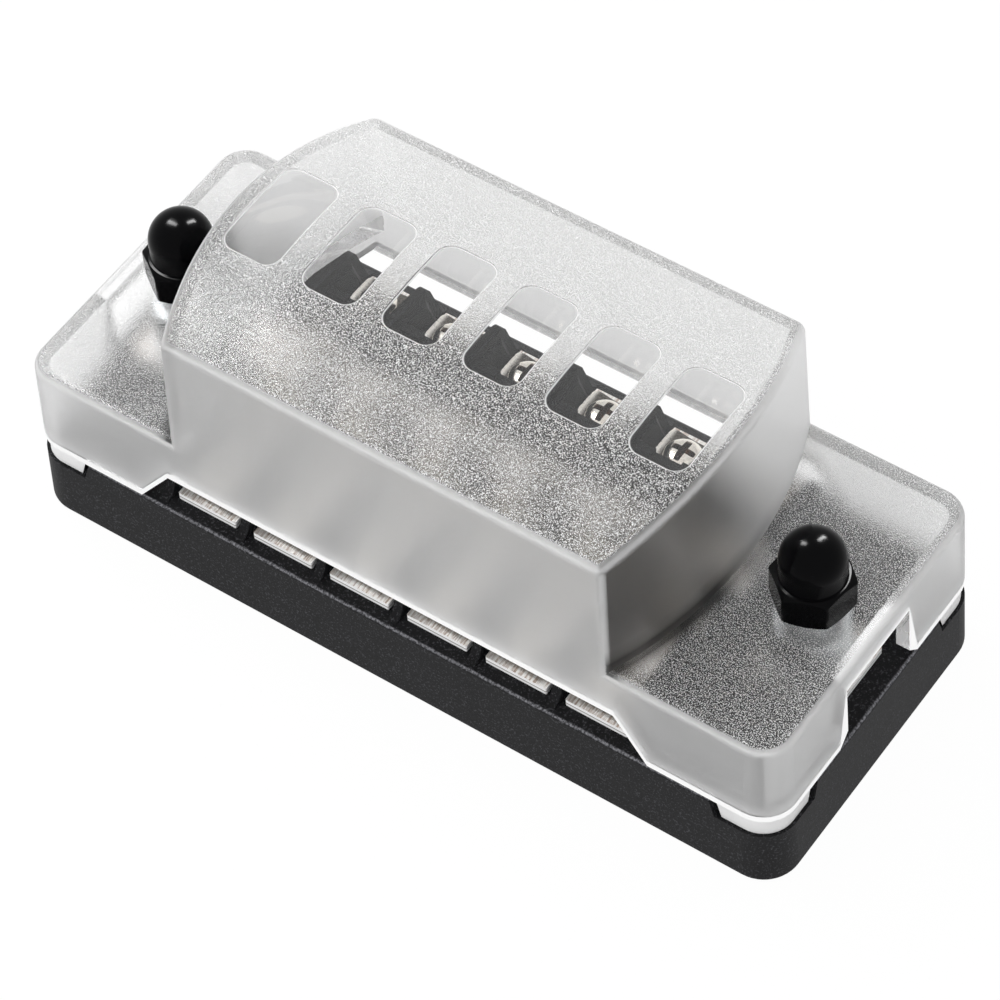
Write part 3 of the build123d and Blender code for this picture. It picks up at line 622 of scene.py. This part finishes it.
foot = add(frost, "MapRange", {"Value": spot.outputs["Z"], "From Min": deck_top + 1.2,
                               "From Max": deck_top + 4.0, "To Min": 1.0, "To Max": 0.0})
upper = add(frost, "Math", {0: spot.outputs["Z"], 1: deck_top - 1.6}, operation="GREATER_THAN")
broad = add(frost, "Math", {0: facing.outputs["Y"]}, operation="ABSOLUTE")
broad = add(frost, "MapRange", {"Value": broad.outputs[0], "From Min": 0.7, "From Max": 0.8,
                                "To Min": 1.0, "To Max": 0.0})
for share in (ring, fade, foot, upper, broad):
    painted_seam_shade = add(frost, "Math", {0: painted_seam_shade.outputs[0], 1: share.outputs[0]}, operation="MULTIPLY")
tint = add(frost, "MixRGB", {0: painted_seam_shade.outputs[0], 1: tint.outputs[0], 2: (0, 0, 0, 1)})

# Rounded edges and corners glow, because they gather light from both of their sides.
bend_in = add(frost, "MapRange", {"Value": level.outputs[0], "From Min": 0.15, "From Max": 0.5})
bend_out = add(frost, "MapRange", {"Value": level.outputs[0], "From Min": 0.65,
                                   "From Max": 0.92, "To Min": 0.5, "To Max": 0.0})
bend = add(frost, "Math", {0: bend_in.outputs[0], 1: bend_out.outputs[0]},
           operation="MULTIPLY")
skew = add(frost, "Math", {0: facing.outputs["X"], 1: facing.outputs["Y"]},
           operation="MULTIPLY")
skew = add(frost, "Math", {0: skew.outputs[0]}, operation="ABSOLUTE")
skew = add(frost, "MapRange", {"Value": skew.outputs[0], "From Min": 0.4, "From Max": 0.48,
                               "To Max": 0.45})
glow = add(frost, "Math", {0: bend.outputs[0], 1: skew.outputs[0]}, operation="MAXIMUM")

# White is the share of pale haze over the clear plastic: the frost's own haze, the painted glow
# on edges and undersides and the painted highlight round the windows, with none in the painted
# seam shade.
white = add(frost, "MixRGB", {0: coarse.outputs[0], 1: satin.outputs[0], 2: speck.outputs[0]})
white = add(frost, "Math", {0: white.outputs[0], 1: glow.outputs[0]}, operation="MAXIMUM")
white = add(frost, "Math", {0: white.outputs[0], 1: frosted.outputs[0]}, operation="MULTIPLY")
white = add(frost, "Math", {0: white.outputs[0], 1: rim.outputs[0]}, operation="MAXIMUM")
white = add(frost, "Math", {0: white.outputs[0], 1: under.outputs[0]}, operation="MAXIMUM")
clear = add(frost, "Math", {0: 1.0, 1: painted_seam_shade.outputs[0]}, operation="SUBTRACT")
white = add(frost, "Math", {0: white.outputs[0], 1: clear.outputs[0]}, operation="MULTIPLY")

skin = add(frost, "BsdfPrincipled", {"Base Color": tint.outputs[0],
                                     "Roughness": haze.outputs[0],
                                     "IOR": 1.45, "Transmission Weight": 1.0,
                                     "Specular IOR Level": 0.15,
                                     "Coat Weight": film.outputs[0],
                                     "Coat Roughness": 0.12, "Coat IOR": 1.35,
                                     "Coat Normal": facets.outputs[0],
                                     "Normal": relief.outputs[0]})
milk = add(frost, "BsdfTranslucent", {"Color": linear("#FFFFFF")})
cloud = add(frost, "BsdfDiffuse", {"Color": linear("#F8F8F8")})
fog = add(frost, "MixShader", {0: 0.6, 1: milk.outputs[0], 2: cloud.outputs[0]})
gleam = add(frost, "BsdfAnisotropic", {"Color": linear("#FFFFFF"), "Roughness": 0.5})
fog = add(frost, "MixShader", {0: lit_edge.outputs[0], 1: fog.outputs[0], 2: gleam.outputs[0]})
both = add(frost, "MixShader", {0: white.outputs[0], 1: skin.outputs[0], 2: fog.outputs[0]})
frost.node_tree.links.new(both.outputs[0], out.inputs["Surface"])
finish_node("cover", frost)


# Cap nuts: M6 domed nuts of steel with a black coating, smooth but not polished, so each strip
# lamp shows as one soft spot on the dome and a dim streak on a flat.

black_coat, out = new_material("black_coated_steel")
mm = millimetres(black_coat)
speck = add(black_coat, "TexNoise", {"Vector": mm, "Scale": 5.0, "Detail": 2.0})
gloss = add(black_coat, "MapRange", {"Value": speck.outputs["Fac"], "To Min": 0.13,
                                     "To Max": 0.19})
relief = add(black_coat, "Bump", {"Height": speck.outputs["Fac"], "Strength": 0.12,
                                  "Distance": 0.00003})
skin = add(black_coat, "BsdfPrincipled", {"Base Color": linear("#030304"),
                                          "Roughness": gloss.outputs[0], "IOR": 1.5,
                                          "Specular IOR Level": 0.05,
                                          "Normal": relief.outputs[0]})
black_coat.node_tree.links.new(skin.outputs[0], out.inputs["Surface"])

# The rings run down the bore, up the hexagon, round the neck and over the crown of the dome.
dome_radius = 4.46
quarter = np.linspace(0, math.pi / 2, 25)[1:-1, None]
for side, x, turn_deg in (("left", -stud_reach, 56.0), ("right", stud_reach, 50.0)):
    node = f"cap_nut_{side}"
    low, high = (1000 * corner[2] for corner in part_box(node))
    turn = math.radians(turn_deg)
    angle = hexagon_angles(turn)
    bore = (np.array([[2.2], [3.05], [3.05], [3.05]]),
            low + np.array([[10.3], [9.9], [5.0], [0.45]]))
    hexagon = chamfered_hexagon(angle, low, low + nut_height, hexagon_flats, 3.5, 4.62, turn)
    dome_low = high - dome_radius
    neck = (np.array([[4.5], [dome_radius], [dome_radius]]),
            np.array([[low + 5.24], [low + 5.34], [dome_low]]))
    crown = dome_radius * np.cos(quarter), dome_low + dome_radius * np.sin(quarter)
    cap = [round_rows((x, 0), angle, *rings) for rings in (bore, hexagon, neck, crown)]
    nut = ring_stack(f"{node}_turned", np.vstack(cap))
    nut.data.materials.append(black_coat)
    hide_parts(node)
    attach(nut, node)
    finish_node(node, black_coat)


# Studio: the box stands on a seamless white sweep under a white dome that is brighter from the
# photo's left, with a soft fill lamp on that side. Two strip lamps give the cap nuts their
# highlights and light nothing else. Seen directly, through the cover or mirrored, both are white.

def level_sheet(name, half_x, half_y, height):
    """A level rectangle: x and y are plus or minus their half size, and z is the height."""
    side = np.array([[-1, -1], [1, -1], [1, 1], [-1, 1]])
    points = np.column_stack([side * (half_x, half_y), np.full(4, height)])
    mesh = bpy.data.meshes.new(name)
    mesh.from_pydata(points.tolist(), [], [[0, 1, 2, 3]])
    piece = bpy.data.objects.new(name, mesh)
    bpy.context.scene.collection.objects.link(piece)
    return piece


def looked_at(material):
    """1 for a camera, transmission or glossy ray, which looks at something, and 0 for the rays
    that gather light."""
    ray = add(material, "LightPath")
    seen = add(material, "Math", {0: ray.outputs["Is Camera Ray"],
                                  1: ray.outputs["Is Transmission Ray"]}, operation="MAXIMUM")
    return add(material, "Math", {0: seen.outputs[0], 1: ray.outputs["Is Glossy Ray"]},
               operation="MAXIMUM")


sweep_paper, out = new_material("white_sweep_paper")
matt = add(sweep_paper, "BsdfPrincipled", {"Base Color": linear("#F2F2F2"), "Roughness": 0.9})
white = add(sweep_paper, "Emission", {"Color": (1, 1, 1, 1), "Strength": 1.0})
seen = add(sweep_paper, "Math", {0: looked_at(sweep_paper).outputs[0], 1: 0.97},
           operation="MULTIPLY")
both = add(sweep_paper, "MixShader", {0: seen.outputs[0], 1: matt.outputs[0],
                                      2: white.outputs[0]})
sweep_paper.node_tree.links.new(both.outputs[0], out.inputs["Surface"])
sweep = level_sheet("sweep", 3.0, 3.0, 0.0)
sweep.data.materials.append(sweep_paper)

dome = bpy.data.worlds.new("white_dome")
bpy.context.scene.world = dome
dome.use_nodes = True
dome.node_tree.nodes.clear()
out = add(dome, "OutputWorld")
bright_side = (-0.8, -0.6, 0.0)
toward = add(dome, "VectorMath", {0: add(dome, "TexCoord").outputs["Generated"],
                                  1: bright_side}, operation="DOT_PRODUCT")
level = add(dome, "MapRange", {"Value": toward.outputs["Value"], "From Min": -1.0,
                               "To Min": 0.8, "To Max": 1.55})
level = add(dome, "MixRGB", {0: looked_at(dome).outputs[0], 1: level.outputs[0],
                             2: (1, 1, 1, 1)})
sky = add(dome, "Background", {"Color": level.outputs[0], "Strength": 1.0})
dome.node_tree.links.new(sky.outputs[0], out.inputs["Surface"])

# Each lamp: its place and its two sizes in metres, its watts, and whether it is the fill lamp.
lamps = {"strip_right": ((0.04, 0.36, 0.40), (0.08, 0.26), 7.0, False),
         "strip_left": ((-0.22, 0.02, 0.35), (0.07, 0.22), 3.6, False),
         "fill_left": ((-0.26, 0.03, 0.35), (0.16, 0.16), 0.7, True)}
lit_by_strips = bpy.data.collections.new("lit_by_strips")
for side in ("left", "right"):
    lit_by_strips.objects.link(bpy.data.objects[f"cap_nut_{side}_turned"])
for name, (place, size, watts, is_fill) in lamps.items():
    shade = bpy.data.lights.new(name, "AREA")
    shade.shape = "RECTANGLE"
    shade.size, shade.size_y = size
    shade.energy = watts
    lamp = bpy.data.objects.new(name, shade)
    away = np.array(place) / np.linalg.norm(place)
    across = np.cross([0, 0, 1], away)
    across /= np.linalg.norm(across)
    axes = np.stack([across, np.cross(away, across), away, place], axis=1)
    lamp.matrix_world = Matrix(np.vstack([axes, [0, 0, 0, 1]]).tolist())
    if not is_fill:
        lamp.light_linking.receiver_collection = lit_by_strips
    lamp.visible_diffuse = is_fill
    lamp.visible_transmission = is_fill
    bpy.context.scene.collection.objects.link(lamp)

# The camera stands where the photo was taken: its angles are in degrees, and its distance from
# the middle of the base's underside and its two shifts are in millimetres.
view = bpy.data.cameras.new("photo_view")
view.sensor_width = 36.0
view.lens = 156.605
view.clip_start = 0.05
view.clip_end = 20.0
turn, rise, roll = (math.radians(a) for a in (38.48, 52.06, -4.73))
distance, aside, upward = 586.85, -0.06, 8.08
back = np.array([math.sin(turn) * math.cos(rise), -math.cos(turn) * math.cos(rise),
                 math.sin(rise)])
level_right = np.array([math.cos(turn), math.sin(turn), 0.0])
level_up = np.cross(back, level_right)
right = math.cos(roll) * level_right + math.sin(roll) * level_up
up = -math.sin(roll) * level_right + math.cos(roll) * level_up
eye = (distance * back + aside * right + upward * up) / 1000
camera = bpy.data.objects.new("photo_view", view)
placed = np.vstack([np.stack([right, up, back, eye], axis=1), [0, 0, 0, 1]])
camera.matrix_world = Matrix(placed.tolist())
bpy.context.scene.collection.objects.link(camera)
bpy.context.scene.camera = camera
bpy.context.scene.view_settings.view_transform = "Standard"
